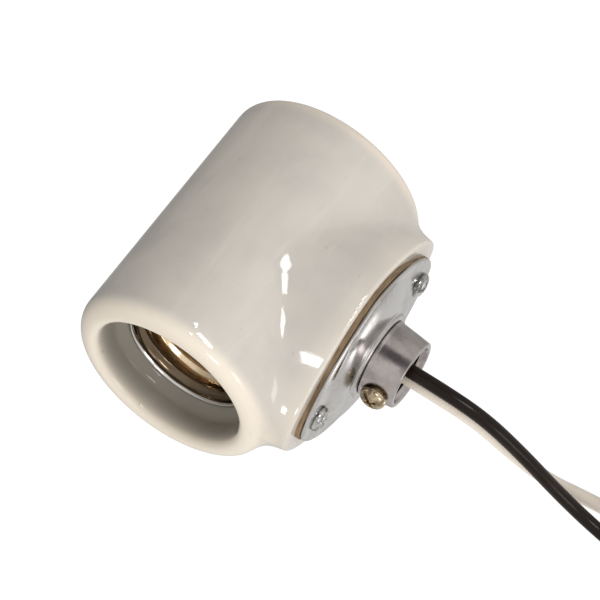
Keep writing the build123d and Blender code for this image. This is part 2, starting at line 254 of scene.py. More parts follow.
# %% [markdown]
# Most pieces made here are round about one of the holder's two axes: the lamp's axis or the cap's.
# A matrix for each axis places what is drawn along X, and one helper turns any finished bmesh into
# an object that moves with its body.

# %% Axes to build on and a helper for new pieces
along_lamp = Matrix((
    (0, 0, 1, axis_x),
    (1, 0, 0, 0),
    (0, 1, 0, axis_z),
    (0, 0, 0, 1),
))
along_side = Matrix((
    (1, 0, 0, axis_x),
    (0, 0, 1, 0),
    (0, 1, 0, axis_z),
    (0, 0, 0, 1),
))


def new_piece(name, bm, body="holder"):
    """Turn a bmesh into an object that rides on a body."""
    bmesh.ops.recalc_face_normals(bm, faces=bm.faces)
    data = bpy.data.meshes.new(name)
    bm.to_mesh(data)
    bm.free()
    data.shade_smooth()
    piece = bpy.data.objects.new(name, data)
    bpy.context.collection.objects.link(piece)
    if body:
        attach(piece, body)
    return piece


print("axes ready:", len((along_lamp, along_side)))

# %% [markdown]
# A turned piece and a moulded plate have one thing in common: both are a skin over loops of points
# that follow each other. One helper joins two loops with faces, and another does so for a whole
# row of loops, whatever their shape.

# %% Skin over loops
def join_rings(bm, first, second):
    """Faces between two rings of vertices, or between a ring and a centre point."""
    if len(first) == 1 and len(second) == 1:
        return
    count = max(len(first), len(second))
    for index in range(count):
        after = (index + 1) % count
        corners = [
            first[index % len(first)],
            first[after % len(first)],
            second[after % len(second)],
            second[index % len(second)],
        ]
        bm.faces.new(list(dict.fromkeys(corners)))


def skin(loops, ends):
    """A bmesh over loops of places, whose ends are "joined" to each other, "capped" or "open"."""
    bm = bmesh.new()
    rings = [[bm.verts.new(place) for place in loop] for loop in loops]
    for first, second in zip(rings, rings[1:]):
        join_rings(bm, first, second)
    if ends == "joined":
        join_rings(bm, rings[-1], rings[0])
    if ends == "capped":
        bm.faces.new(rings[0])
        bm.faces.new(rings[-1])
    return bm


print("skin ready")

# %% [markdown]
# A lathe turns a half section into loops. The section is a list of (along the axis, radius) pairs.
# A spin modifier could do the same, but here a loop may also ask for its radius at every angle,
# which is how a thread can climb.

# %% Lathe
def turned_loop(along, reach_at, placing, segments):
    """One loop about a placed axis, whose radius in millimetres is asked for at every angle."""
    loop = []
    for segment in range(segments):
        angle = math.tau * segment / segments
        reach = reach_at(angle)
        place = Vector((along, reach * math.cos(angle), reach * math.sin(angle))) * mm
        loop.append(placing @ place)
    return loop


def lathe(section, placing, segments=128, ends="joined"):
    """A bmesh turned from (along, radius) pairs in millimetres about a placed axis."""
    loops = []
    for along, radius in section:
        if radius < 1e-6:
            loops.append([placing @ Vector((along * mm, 0, 0))])
        else:
            loops.append(turned_loop(along, lambda angle: radius, placing, segments))
    return skin(loops, ends)


print("lathe ready")

# %% [markdown]
# A porcelain edge is never sharp, and a cast or turned one is not quite sharp either. The corners
# of a section could be bevelled on the finished mesh. Working each one out as a short arc keeps
# its radius exact and lets every corner have its own.

# %% Rounded corners
def rounded(points, radii, steps=8):
    """The same run of points with each inner corner replaced by an arc of the given radius."""
    result = [points[0]]
    for before, here, after, radius in zip(points, points[1:], points[2:], radii):
        here = Vector(here)
        run_in = (here - Vector(before)).normalized()
        run_out = (Vector(after) - here).normalized()
        turn = run_in.angle(run_out)
        if radius <= 0 or turn < 1e-4:
            result.append(tuple(here))
            continue
        trim = radius * math.tan(turn / 2)
        inward = (run_out - run_in).normalized()
        centre = here + inward * (radius / math.cos(turn / 2))
        start = here - run_in * trim - centre
        end = here + run_out * trim - centre
        for step in range(steps + 1):
            share = step / steps
            arm = start.slerp(end, share)
            result.append(tuple(centre + arm.normalized() * radius))
    result.append(points[-1])
    return result


print("a rounded square corner has", len(rounded([(0, 0), (1, 0), (1, 1)], [0.5])) - 2, "points")

# %% [markdown]
# The porcelain was pressed in a mould: a thick tube with a round boss on its side that carries the
# cap. The boss runs into the tube without a line. It could be one sculpted mesh, but joining two
# plain solids, remeshing them evenly and then relaxing only the junction gives the same soft
# fillets that slip and glaze leave, and the mouth's round edges keep their exact size.

# %% Tube of the porcelain body
hollow = [(well_floor, 0), (well_floor, well_radius), (-24, well_radius), (-26, mouth_radius)]
hollow_radii = [0.5, 0.4, 0.8]
tube_section = rounded(
    hollow + [
        (-tube_end, mouth_radius),
        (-tube_end, tube_radius),
        (tube_end, tube_radius),
        (tube_end, 0),
    ],
    hollow_radii + [1.9, 4.5, 3.2],
)
tube = new_piece("porcelain", lathe(tube_section, along_lamp, 192))
print("tube section points:", len(tube_section))

# %% [markdown]
# The boss carries the cap, so its outline is the cap's rounded lozenge, a little larger. It grows
# narrower towards the cap, as a moulded piece must to leave its mould. Outlines at five distances
# are joined into one solid, whose foot stands inside the tube so that the two run together.

# %% Boss under the cap
squareness = 1.585


def boss_outline(margin, tip_margin, points=96):
    """The cap's rounded lozenge outline, grown by a margin at its sides and at its two tips."""
    length = cap_half_length + tip_margin
    width = cap_half_width + margin
    power = 2 / squareness
    outline = []
    for point in range(points):
        angle = math.tau * point / points
        reach_y = math.copysign(abs(math.cos(angle)) ** power, math.cos(angle)) * length
        reach_z = math.copysign(abs(math.sin(angle)) ** power, math.sin(angle)) * width
        outline.append((reach_y, reach_z))
    return outline


def stacked(sections):
    """Loops of places from outlines that stand at given distances from the lamp's axis."""
    return [[from_axis(reach, y, z) for y, z in outline] for reach, outline in sections]


boss = new_piece("boss", skin(stacked([
    (4.0, boss_outline(2.4, 6.5)),
    (18.0, boss_outline(2.3, 6.2)),
    (22.0, boss_outline(2.1, 5.7)),
    (25.5, boss_outline(1.8, 5.0)),
    (boss_top, boss_outline(1.6, 4.3)),
]), "capped"), None)
print("boss faces:", len(boss.data.polygons))

# %% [markdown]
# The mouth, the wiring pocket under the cap and the slot for the metal straps are hollows in the
# real piece. Plain helper solids cut them with Boolean modifiers, once the boss is joined on. Each
# modifier is applied at once and its helper thrown away, so that only the porcelain is left.

# %% Join and hollow the porcelain
def cutter(name, bm):
    """A helper solid that is only used to cut and is thrown away afterwards."""
    return new_piece(name, bm, None)


def apply_all(piece):
    """Replace a piece's mesh by what its modifiers make of it."""
    graph = bpy.context.evaluated_depsgraph_get()
    made = bpy.data.meshes.new_from_object(piece.evaluated_get(graph))
    old = piece.data
    piece.modifiers.clear()
    piece.data = made
    bpy.data.meshes.remove(old)


def combine(piece, other, operation):
    """Join or cut with another solid, which is removed."""
    change = piece.modifiers.new(operation.lower(), "BOOLEAN")
    change.operation = operation
    change.solver = "EXACT"
    change.object = other
    apply_all(piece)
    bpy.data.objects.remove(other)


combine(tube, boss, "UNION")
past_the_mouth = -tube_end - 1
mouth_section = rounded(
    hollow + [(past_the_mouth, mouth_radius), (past_the_mouth, 0)],
    hollow_radii + [0],
)
combine(tube, cutter("mouth_cut", lathe(mouth_section, along_lamp)), "DIFFERENCE")
pocket_floor, pocket_radius, past_the_pocket = 20.5, 14, 29.5
pocket_section = [
    (pocket_floor, 0),
    (pocket_floor, pocket_radius),
    (past_the_pocket, pocket_radius),
    (past_the_pocket, 0),
]
combine(tube, cutter("pocket_cut", lathe(pocket_section, along_side, 96)), "DIFFERENCE")
slot_size = Vector((35.0, 6.2, 22.0)) * mm
slot_mesh = bmesh.new()
bmesh.ops.create_cube(slot_mesh, size=1.0)
bmesh.ops.scale(slot_mesh, vec=slot_size, verts=slot_mesh.verts)
bmesh.ops.translate(slot_mesh, vec=from_axis(3.5, 10.1, 0), verts=slot_mesh.verts)
combine(tube, cutter("slot_cut", slot_mesh), "DIFFERENCE")
print("porcelain after cutting:", len(tube.data.vertices), "vertices")

# %% [markdown]
# A Boolean leaves long thin faces, which smooth badly. A voxel remesh lays an even skin over the
# solid first. A vertex group then marks the valley between tube and boss, and a strong smoothing
# works only there: the fillet grows soft, while the mouth and the cap's seat keep their shape. A
# light polish at the end takes the small steps of the remesh off the whole skin.

# %% Even mesh and soft junction
def fade(value, start, stop):
    """0 before start and 1 after stop, with a smooth ramp between, for arrays."""
    share = np.clip((value - start) / (stop - start), 0, 1)
    return share * share * (3 - 2 * share)


def positions(piece):
    """A piece's vertex positions in millimetres from the lamp axis."""
    flat = np.empty(len(piece.data.vertices) * 3)
    piece.data.vertices.foreach_get("co", flat)
    return (flat.reshape(-1, 3) - np.array((axis_x, 0, axis_z))) / mm


remesh = tube.modifiers.new("even", "REMESH")
remesh.mode = "VOXEL"
remesh.voxel_size = 0.4 * mm
apply_all(tube)
place = positions(tube)
radius = np.hypot(place[:, 0], place[:, 2])
soft = fade(place[:, 0], 3.0, 9.0) * (1 - fade(place[:, 0], 26.6, 27.8))
soft *= 1 - fade(np.abs(place[:, 1]), 29.0, 31.5)
soft *= fade(radius, 21.0, 22.5)
junction = tube.vertex_groups.new(name="junction")
for step in range(1, 11):
    chosen = np.nonzero(np.round(soft * 10).astype(int) == step)[0].tolist()
    if chosen:
        junction.add(chosen, step / 10, "REPLACE")
relax = tube.modifiers.new("relax", "SMOOTH")
relax.factor = 0.5
relax.iterations = 420
relax.vertex_group = "junction"
polish = tube.modifiers.new("polish", "SMOOTH")
polish.factor = 0.5
polish.iterations = 6
apply_all(tube)
tube.data.shade_smooth()
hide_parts("porcelain_body")
print("porcelain vertices:", len(tube.data.vertices))

# %% [markdown]
# The screw shell is pressed from thin brass sheet, so its thread is a soft wave and not a cut
# groove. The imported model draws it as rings; here the wave climbs round the shell as a real
# thread does. Each row of the grid asks for its radius at every angle, inside and outside.

# %% Threaded shell
pitch = 3.629
thread_start = -21.9
row_step = 0.24
row_count = 85
sheet = 0.4


def thread_radius(along, angle):
    """Inner radius of the rolled thread at a place along the lamp's axis and round it."""
    middle, wave_height, plain_extra = 12.92, 0.43, 0.33
    wave = math.cos(math.tau * (along / pitch - angle / math.tau))
    ramp_in = min(max((along - thread_start) / 2.2, 0), 1)
    ramp_out = min(max((-3.4 - along) / 2.6, 0), 1)
    ramp = min(ramp_in, ramp_out)
    return middle + wave_height * ramp * wave + plain_extra * (1 - ramp)


def shell_rows():
    """Rows of (along, radius or None for the thread, extra radius) from the rim to the base."""
    plain_rim = [(-24.15, 14.95), (-23.95, 14.72), (-23.2, 14.6), (-22.6, 14.4), (-22.2, 14.0)]
    plain_base = [(-1.2, 13.2), (0.2, 13.1), (0.65, 12.9), (0.8, 12.4), (0.8, 8.4)]
    outer_base = [(1.2, 8.4), (1.2, 12.8), (0.9, 13.4), (0.3, 13.5), (-1.2, 13.6)]
    outer_rim = [(-22.3, 14.5), (-22.8, 14.85), (-23.5, 15.0), (-23.9, 15.25), (-24.15, 15.2)]
    threaded = [thread_start + row_step * row for row in range(row_count)]
    rows = [(along, radius, 0) for along, radius in plain_rim]
    rows += [(along, None, 0) for along in threaded]
    rows += [(along, radius, 0) for along, radius in plain_base + outer_base]
    rows += [(along, None, sheet) for along in reversed(threaded)]
    rows += [(along, radius, 0) for along, radius in outer_rim]
    return rows


def thread_shell(segments=160):
    """The shell as one closed sheet of brass with a climbing thread."""
    loops = []
    for along, radius, extra in shell_rows():
        def reach_at(angle):
            return radius or thread_radius(along, angle) + extra
        loops.append(turned_loop(along, reach_at, along_lamp, segments))
    return skin(loops, "joined")


shell = new_piece("threaded_shell", thread_shell())
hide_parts("screw_shell")
print("shell faces:", len(shell.data.polygons))

# %% [markdown]
# The cap is a pressed metal cover: a lozenge with two screw ears, and a low dome that rises
# from the rim to a collar round the bushing. Rings of points follow the lozenge at the edge and
# turn into circles at the collar, which no lathe could do. The edge is rolled, so it catches a
# thin line of light.

# %% Cap plate
plate_points = 160
dome_half_length = 17.6
dome_half_width = 19.4
dome_top_radius = 10.4
edge = boss_outline(0.0, 0.0, plate_points)


def blend_outline(share):
    """An outline from the lozenge edge (0) over the dome's foot (0.5) to the collar (1)."""
    result = []
    for y, z in edge:
        angle = math.atan2(z, y)
        base_y = dome_half_length * math.cos(angle)
        base_z = dome_half_width * math.sin(angle)
        reach = math.hypot(y, z)
        base = min(math.hypot(base_y, base_z), reach * 0.95)
        radius = reach + (base - reach) * min(share * 2, 1)
        if share > 0.5:
            radius = base + (dome_top_radius - base) * (share - 0.5) * 2
        result.append((radius * math.cos(angle), radius * math.sin(angle)))
    return result


def scaled(outline, change):
    """An outline moved outwards by a distance, or inwards where the distance is negative."""
    return [
        (y * (1 + change / math.hypot(y, z)), z * (1 + change / math.hypot(y, z)))
        for y, z in outline
    ]


def circle(radius):
    """A circle with as many points as the plate's other rings."""
    angles = [math.atan2(z, y) for y, z in edge]
    return [(radius * math.cos(angle), radius * math.sin(angle)) for angle in angles]


print("points in a ring of the plate:", len(edge))

# %% [markdown]
# With these outlines the plate is a stack of rings: under the edge, round the rolled edge, over the
# flat ears, up the dome, round the collar and down its hole. The dome rises fast at its foot and
# levels out at the collar, which a power of a sine gives.

# %% Rings of the plate
rim = blend_outline(0.0)
dome_foot = 30.7
dome_height = 2.0
dome_steps = 14
pocket_side = 31.7
plate_rings = [
    (plate_bottom, circle(14.6)),
    (plate_bottom, scaled(rim, -0.45)),
    (29.75, scaled(rim, -0.12)),
    (30.05, rim),
    (30.35, scaled(rim, -0.12)),
    (30.55, scaled(rim, -0.45)),
    (plate_top, scaled(rim, -0.9)),
    (plate_top, blend_outline(0.42)),
    (dome_foot, blend_outline(0.5)),
]
for step in range(1, dome_steps + 1):
    share = step / dome_steps
    rise = dome_height * math.sin(share * math.pi / 2) ** 0.85
    plate_rings.append((dome_foot + rise, blend_outline(0.5 + 0.5 * share)))
plate_rings += [
    (32.85, circle(10.32)),
    (33.25, circle(10.3)),
    (33.45, circle(10.12)),
    (collar_top, circle(9.8)),
    (collar_top, circle(collar_hole)),
    (pocket_side, circle(collar_hole)),
    (pocket_side, circle(11.0)),
]
plate = new_piece("cap_cover", skin(stacked(plate_rings), "joined"))
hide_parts("cap_plate")
print("cap plate rings:", len(plate_rings))

# %% [markdown]
# The bushing is a short tapped barrel that is swaged into the cap. A pipe nipple screws into it,
# so its bore carries a fine thread, which shows just inside the lip. It is turned on the lathe
# with small rounded steps, because every edge on a cast and machined piece is a little soft.

# %% Cap bushing
bore_thread_start = 40.8
bore_thread_end = 31.9
bore_pitch = 1.411


def bushing_section():
    """Half section of the bushing from its hidden flange to the lip and back down the bore."""
    outside = rounded(
        [
            (30.8, 6.3), (30.8, 8.4), (pocket_side, 8.4), (pocket_side, collar_hole),
            (collar_top, collar_hole), (collar_top, 9.2), (34.4, 8.85),
            (bushing_mouth, 8.0), (bushing_mouth, 6.9), (41.0, 6.75),
        ],
        [0.2, 0.2, 0.1, 0.1, 0.25, 0.8, 0.45, 0.25],
        5,
    )
    bore = []
    reach = bore_thread_start
    while reach > bore_thread_end:
        for deeper, radius in ((0, 6.68), (0.3, 6.62), (0.7, 6.22), (1.0, 6.2), (1.25, 6.5)):
            bore.append((reach - deeper, radius))
        reach -= bore_pitch
    return outside + bore + [(31.0, 6.3)]


bushing = new_piece("threaded_bushing", lathe(bushing_section(), along_side, 144))
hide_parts("cap_bushing")
print("bushing section points:", len(bushing_section()))

# %% [markdown]
# The cap screws and the set screw have low round heads with a slot and a cross in one recess, so
# that either driver fits. A domed head is turned, then two crossed bars are cut from it, and a
# narrow bevel breaks the new edges so that they shine like stamped steel.

# %% Section of a screw
def screw_section(head_radius, head_height, shank_radius, shank_length):
    """Half section of a screw from its tip over its shank and thread to the top of its dome."""
    rim_height, dome_steps = 0.35, 12
    dome = []
    for step in range(dome_steps + 1):
        angle = math.pi / 2 * step / dome_steps
        rise = rim_height + (head_height - rim_height) * math.sin(angle) ** 0.9
        dome.append((rise, head_radius * math.cos(angle) ** 0.75))
    dome[-1] = (head_height, 0)
    section = [
        (-shank_length, 0),
        (-shank_length, shank_radius * 0.8),
        (0.4 - shank_length, shank_radius),
    ]
    groove = -shank_length + 0.8
    while groove < -0.9:
        section += [
            (groove, shank_radius),
            (groove + 0.25, shank_radius * 0.86),
            (groove + 0.5, shank_radius),
        ]
        groove += 0.75
    return section + [(0, shank_radius), (0, head_radius - 0.15), (0.12, head_radius)] + dome


print("screw section ready")

# %% [markdown]
# The slot and the cross are two bars with slightly bevelled edges, sunk into the head's top. They
# could be modelled in the head's own mesh, but cutting keeps the dome round between them. Every
# screw is made by the same function, so that the heads agree.

# %% Head with a combined recess
def screw_piece(name, seat, direction, sizes, spin, body="holder"):
    """One screw along a direction, its head standing on the seat point."""
    head_radius, head_height = sizes[:2]
    turn = direction.to_track_quat("X", "Z").to_matrix().to_4x4()
    placing = Matrix.Translation(seat) @ turn
    screw = new_piece(name, lathe(screw_section(*sizes), placing, 64, "open"), body)
    for width, length, depth, angle in (
        (0.85, head_radius * 2.2, 0.75, spin),
        (0.75, head_radius * 1.15, 1.05, spin + math.pi / 2),
    ):
        bar = bmesh.new()
        bmesh.ops.create_cube(bar, size=1.0)
        bmesh.ops.scale(bar, vec=Vector((2 * depth, width, length)) * mm, verts=bar.verts)
        bmesh.ops.bevel(bar, geom=bar.edges[:], offset=0.12 * mm, segments=2, affect="EDGES")
        bmesh.ops.rotate(bar, cent=Vector(), matrix=Matrix.Rotation(angle, 3, "X"), verts=bar.verts)
        bmesh.ops.translate(bar, vec=Vector((head_height * mm, 0, 0)), verts=bar.verts)
        bmesh.ops.transform(bar, matrix=placing, verts=bar.verts)
        combine(screw, cutter("recess", bar), "DIFFERENCE")
    bevel = screw.modifiers.new("broken_edges", "BEVEL")
    bevel.width = 0.09 * mm
    bevel.segments = 2
    bevel.limit_method = "ANGLE"
    bevel.angle_limit = math.radians(40)
    apply_all(screw)
    screw.data.shade_smooth()
    screw.data.set_sharp_from_angle(angle=math.radians(38))
    return screw


print("recess ready")

# %% [markdown]
# Two equal screws hold the cap and point out of it. The third goes through the bushing's wall and
# locks a pipe, so it rides on a body of its own and can slide out. Each screw has its own turn of
# the slot, because nobody stops a screw at the same angle twice.

# %% The three screws
side = Vector((1, 0, 0))
outward = Vector((0, -1, 0))
screw_apart = 20.3
cap_screw_sizes = (2.95, 1.75, 1.75, 8.6)
lock_screw_sizes = (3.05, 2.1, 2.04, 4.0)
near_seat = from_axis(plate_top, -screw_apart, 0)
far_seat = from_axis(plate_top, screw_apart, 0)
lock_seat = from_axis(37.5, -8.9, 0)
near_screw = screw_piece("cap_screw_near", near_seat, side, cap_screw_sizes, 0.5)
far_screw = screw_piece("cap_screw_far", far_seat, side, cap_screw_sizes, 1.1)
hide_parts("cap_screws")
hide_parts("cap_screws")
lock_screw = screw_piece(
    "lock_screw", lock_seat, outward, lock_screw_sizes, 0.6, "set_screw_body"
)
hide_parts("set_screw")
print("screws:", near_screw.name, far_screw.name, lock_screw.name)

# %% [markdown]
# Materials are small node networks. Writing them by hand takes many lines, so one class wraps a
# socket: an expression such as 1 - mask * 0.5 then adds its own Math nodes. A second class holds
# a tree of nodes and adds any other node from its type, its settings and its socket values.

# %% Shader maths
class Signal:
    """A number or colour that varies, and as a number can be added to, scaled and so on."""

    def __init__(self, nodes, socket):
        self.nodes = nodes
        self.socket = socket

    def combined(self, operation, first, second):
        """The Math node that works one step of an expression out."""
        return self.nodes.add("ShaderNodeMath", {"operation": operation}, {0: first, 1: second})

    def __add__(self, other):
        return self.combined("ADD", self, other)

    __radd__ = __add__

    def __sub__(self, other):
        return self.combined("SUBTRACT", self, other)

    def __rsub__(self, other):
        return self.combined("SUBTRACT", other, self)

    def __mul__(self, other):
        return self.combined("MULTIPLY", self, other)

    __rmul__ = __mul__


class Nodes:
    """A tree of nodes, with one way to add any node and join it to the others."""

    def __init__(self, tree):
        self.tree = tree

    def put(self, socket, value):
        """Link a signal to a socket, or set a plain value on it."""
        if isinstance(value, Signal):
            self.tree.links.new(value.socket, socket)
        else:
            socket.default_value = value

    def add(self, kind, settings=None, values=None, output=0):
        """A new node with its settings and sockets, as a signal from one of its outputs."""
        node = self.tree.nodes.new(kind)
        for key, value in (settings or {}).items():
            if key == "stops":
                node.color_ramp.interpolation = "EASE"
                for element, (place, colour) in zip(node.color_ramp.elements, value):
                    element.position = place
                    element.color = (*colour, 1)
            else:
                setattr(node, key, value)
        for key, value in (values or {}).items():
            self.put(node.inputs[key], value)
        return Signal(self, node.outputs[output])


print("shader maths ready")

# %% [markdown]
# A finish is a tree of nodes round one Principled shader. What the finishes share becomes a method:
# the place on the holder, clouds of noise, a soft step, a mix of two colours and a bump. A finish
# then reads like a recipe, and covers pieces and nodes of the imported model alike.

# %% Finishes
class Finish(Nodes):
    """One material around a Principled shader, with helpers for what varies over it."""

    def __init__(self, name, **fixed):
        self.material = bpy.data.materials.new(name)
        self.material.use_nodes = True
        super().__init__(self.material.node_tree)
        self.shader = self.tree.nodes["Principled BSDF"]
        for socket, value in fixed.items():
            self.shader.inputs[socket.replace("_", " ")].default_value = value

    def places(self):
        """Position on the holder, in metres."""
        return self.add("ShaderNodeTexCoord", output="Object")

    def axes(self):
        """The position's parts along X, Y and Z, each as a signal of its own."""
        whole = self.add("ShaderNodeSeparateXYZ", values={0: self.places()})
        return [Signal(self, output) for output in whole.socket.node.outputs]

    def noise(self, scale, detail=3.0, roughness=0.5, stretch=None, distortion=0.0):
        """Cloudy variation between 0 and 1, with a scale in spots per metre."""
        where = self.places()
        if stretch:
            product = {"operation": "MULTIPLY"}
            where = self.add("ShaderNodeVectorMath", product, {0: where, 1: stretch})
        return self.add("ShaderNodeTexNoise", values={
            "Vector": where, "Scale": scale, "Detail": detail,
            "Roughness": roughness, "Distortion": distortion,
        })

    def between(self, value, low, high):
        """The value moved to 0 at low and 1 at high, and smoothed between."""
        settings = {"interpolation_type": "SMOOTHSTEP"}
        values = {"Value": value, "From Min": low, "From Max": high}
        return self.add("ShaderNodeMapRange", settings, values)

    def blend(self, share, first, second):
        """A colour between two colours."""
        first = first if isinstance(first, Signal) else (*first, 1)
        second = second if isinstance(second, Signal) else (*second, 1)
        values = {0: share, 6: first, 7: second}
        return self.add("ShaderNodeMix", {"data_type": "RGBA"}, values, output=2)

    def bump(self, height, strength, distance):
        """A surface normal tilted by a height map, whose distance is in metres."""
        values = {"Height": height, "Strength": strength, "Distance": distance}
        return self.add("ShaderNodeBump", values=values)

    def shade(self, **signals):
        """Link what varies to the shader's sockets."""
        for socket, value in signals.items():
            self.put(self.shader.inputs[socket.replace("_", " ")], value)

    def cover(self, *things):
        """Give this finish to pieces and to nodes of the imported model."""
        for thing in things:
            piece = bpy.data.objects.get(thing) if isinstance(thing, str) else thing
            if not piece.data.materials:
                piece.data.materials.append(self.material)
            for slot in piece.material_slots:
                slot.material = self.material


print("finish helpers ready")

# %% [markdown]
# Glazed porcelain is a grey-white clay under a thick clear glass. The clay shows soft clouds and
# long faint strokes from dipping and wiping, the glaze runs thin and warm at the edges, and its
# skin is never quite flat. So the colour varies gently, a coat gives the sharp gloss, and a very
# shallow bump with wide waves bends the reflections. Inside the mouth the glaze gets less coat, and
# the well and its ledge get a darker colour, which is painted shade for the shadow in the mouth.

# %% Porcelain glaze
glaze = Finish(
    "porcelain_glaze",
    Roughness=0.45,
    Specular_IOR_Level=0.0,
    Coat_IOR=1.45,
    Coat_Roughness=0.07,
)
place_x, place_y, place_z = glaze.axes()
clouds = glaze.noise(55, 4, 0.55)
strokes = glaze.noise(150, 4, 0.6, stretch=(1.0, 0.16, 0.5), distortion=0.4)
light_clay = (0.475, 0.438, 0.395)
dark_clay = (0.42, 0.392, 0.360)
wiped_clay = (0.53, 0.505, 0.455)
thin_glaze = (0.78, 0.70, 0.58)
far_clay = (0.66, 0.57, 0.47)
well_painted_shade = (0.21, 0.185, 0.145)
ledge_painted_shade = (0.225, 0.205, 0.17)
speck = (0.33, 0.29, 0.24)
body_tone = glaze.blend(glaze.between(clouds, 0.35, 0.68), light_clay, dark_clay)
body_tone = glaze.blend(glaze.between(strokes, 0.5, 0.72) * 0.4, body_tone, wiped_clay)
mouth_edge = 1 - glaze.between(place_y, -32.6 * mm, -28.6 * mm)
cap_edge = glaze.between(place_x, axis_x + 22.0 * mm, axis_x + 28.8 * mm) * 0.35
warm = glaze.add("ShaderNodeMath", {"operation": "MAXIMUM"}, {0: mouth_edge, 1: cap_edge})
body_tone = glaze.blend(warm * 0.8, body_tone, thin_glaze)
far_edge = glaze.between(place_y, 28.5 * mm, 32.0 * mm)
body_tone = glaze.blend(far_edge * 0.7, body_tone, far_clay)
across = (place_x - axis_x) * (place_x - axis_x) + (place_z - axis_z) * (place_z - axis_z)
inside = 1 - glaze.between(across, (17.6 * mm) ** 2, (18.9 * mm) ** 2)
deep = glaze.between(place_y, -32.6 * mm, -26.4 * mm)
ledge = glaze.between(place_y, -26.3 * mm, -25.3 * mm)
front_half = 1 - glaze.between(place_y, 9.0 * mm, 14.0 * mm)
well = inside * deep * front_half
# Painted shade: the well and its ledge are darkened for the shadow inside the mouth.
body_tone = glaze.blend(well * 0.9, body_tone, well_painted_shade)
body_tone = glaze.blend(well * ledge, body_tone, ledge_painted_shade)
specks = glaze.between(glaze.noise(900, 2, 0.5), 0.735, 0.76)
body_tone = glaze.blend(specks * 0.5, body_tone, speck)
waves = glaze.noise(85, 2, 0.4) + glaze.noise(320, 3, 0.5) * 0.12
glaze.shade(
    Base_Color=body_tone,
    Coat_Weight=1 - well * 0.55,
    Roughness=glaze.noise(60, 3, 0.5) * 0.1 + 0.4,
    Normal=glaze.bump(waves, 0.5, 0.35 * mm),
)
glaze.cover(tube)
print("glaze nodes:", len(glaze.tree.nodes))

# %% [markdown]
# Metal differs mostly in colour, in how sharp its reflections are, and in the marks that made
# it. One recipe covers all the metals here: a base tone and a tarnish tone mixed by clouds, a
# roughness that rises with the tarnish, and a fine bump from rolling, turning or casting.

# %% Metals
def metal(name, clean, dull, roughness, spots, marks, mark_depth, stretch=None):
    """A metal finish with patches of tarnish and fine working marks."""
    made = Finish(name, Metallic=1.0)
    patches = made.between(made.noise(spots, 4, 0.6), 0.38, 0.7)
    grain = made.noise(marks, 3, 0.6, stretch=stretch)
    made.tone = made.blend(patches, clean, dull)
    made.shade(
        Base_Color=made.tone,
        Roughness=roughness + patches * 0.12 + grain * 0.08,
        Normal=made.bump(grain, 0.35, mark_depth * mm),
    )
    return made


shell_brass = metal(
    "shell_brass", (0.82, 0.66, 0.46), (0.58, 0.42, 0.26), 0.09, 160, 900, 0.02, (1, 6, 1)
)
bright_brass = metal(
    "bright_brass", (0.72, 0.56, 0.30), (0.48, 0.33, 0.15), 0.2, 300, 2500, 0.02
)
spring_bronze = metal(
    "spring_bronze", (0.62, 0.40, 0.24), (0.42, 0.25, 0.14), 0.24, 260, 2200, 0.02, (5, 1, 1)
)
cap_metal = metal(
    "cap_metal", (0.52, 0.51, 0.505), (0.40, 0.385, 0.37), 0.14, 120, 1500, 0.02
)
cast_metal = metal(
    "cast_metal", (0.45, 0.41, 0.40), (0.30, 0.275, 0.27), 0.13, 220, 1800, 0.03
)
screw_plating = metal(
    "screw_plating", (0.56, 0.56, 0.54), (0.17, 0.165, 0.15), 0.1, 620, 3000, 0.015
)
lock_plating = metal(
    "lock_plating", (0.56, 0.46, 0.32), (0.22, 0.165, 0.10), 0.12, 620, 3000, 0.02
)
tinned_copper = metal(
    "tinned_copper", (0.66, 0.63, 0.60), (0.60, 0.42, 0.30), 0.25, 900, 3000, 0.01
)
print("metals ready")

# %% [markdown]
# The shell's flared rim gets a pale colour, and the first turn behind it gets a dark colour that is
# painted shade for the shadow it lies in. Both run round the shell as bands, so the distance along
# the lamp's axis mixes them in.

# %% Bands of the shell
thread_painted_shade = (0.06, 0.04, 0.025)
pale_rim = (0.62, 0.60, 0.57)
depth = shell_brass.axes()[1]
shaded_band = 1 - shell_brass.between(depth, -21.6 * mm, -19.6 * mm)
pale_rim_band = 1 - shell_brass.between(depth, -23.75 * mm, -23.5 * mm)
# Painted shade: the first turn of the thread is darkened for the shadow it lies in.
shell_tone = shell_brass.blend(shaded_band * 0.88, shell_brass.tone, thread_painted_shade)
shell_brass.shade(Base_Color=shell_brass.blend(pale_rim_band, shell_tone, pale_rim))
shell_brass.cover(shell)
cap_metal.cover(plate)
cast_metal.cover(bushing)
screw_plating.cover(near_screw, far_screw)
lock_plating.cover(lock_screw)
bright_brass.cover("shell_rivets", "contact_rivet", "live_strap")
bright_brass.cover("live_terminal_screw", "screw_inserts")
spring_bronze.cover("contact_foot", "contact_tongue")
screw_plating.cover("neutral_strap", "neutral_terminal_screw")
tinned_copper.cover("live_ring_terminal", "neutral_ring_terminal", black_strands, white_strands)
print("shell brass nodes:", len(shell_brass.tree.nodes))

# %% [markdown]
# The gasket under the cap and the washer under the shell are vulcanised fibre, a dense brown
# board of pressed layers. Thin layers of darker and lighter brown run across its cut edge.

# %% Fibre board
fibre = Finish("fibre_board", Roughness=0.7)
layers = fibre.noise(700, 4, 0.6, stretch=(3.0, 0.4, 0.4))
light_board = (0.34, 0.235, 0.135)
dark_board = (0.21, 0.14, 0.08)
fibre_tone = fibre.blend(fibre.between(layers, 0.35, 0.65), light_board, dark_board)
fibre.shade(Base_Color=fibre_tone, Normal=fibre.bump(layers, 0.6, 0.08 * mm))
fibre.cover("fibre_gasket", "insulating_washer")
print("fibre nodes:", len(fibre.tree.nodes))

# %% [markdown]
# The leads' insulation is pushed through a die while it is soft, which leaves faint lengthwise
# lines and a waxy shine. Dust and handling dull it here and there.

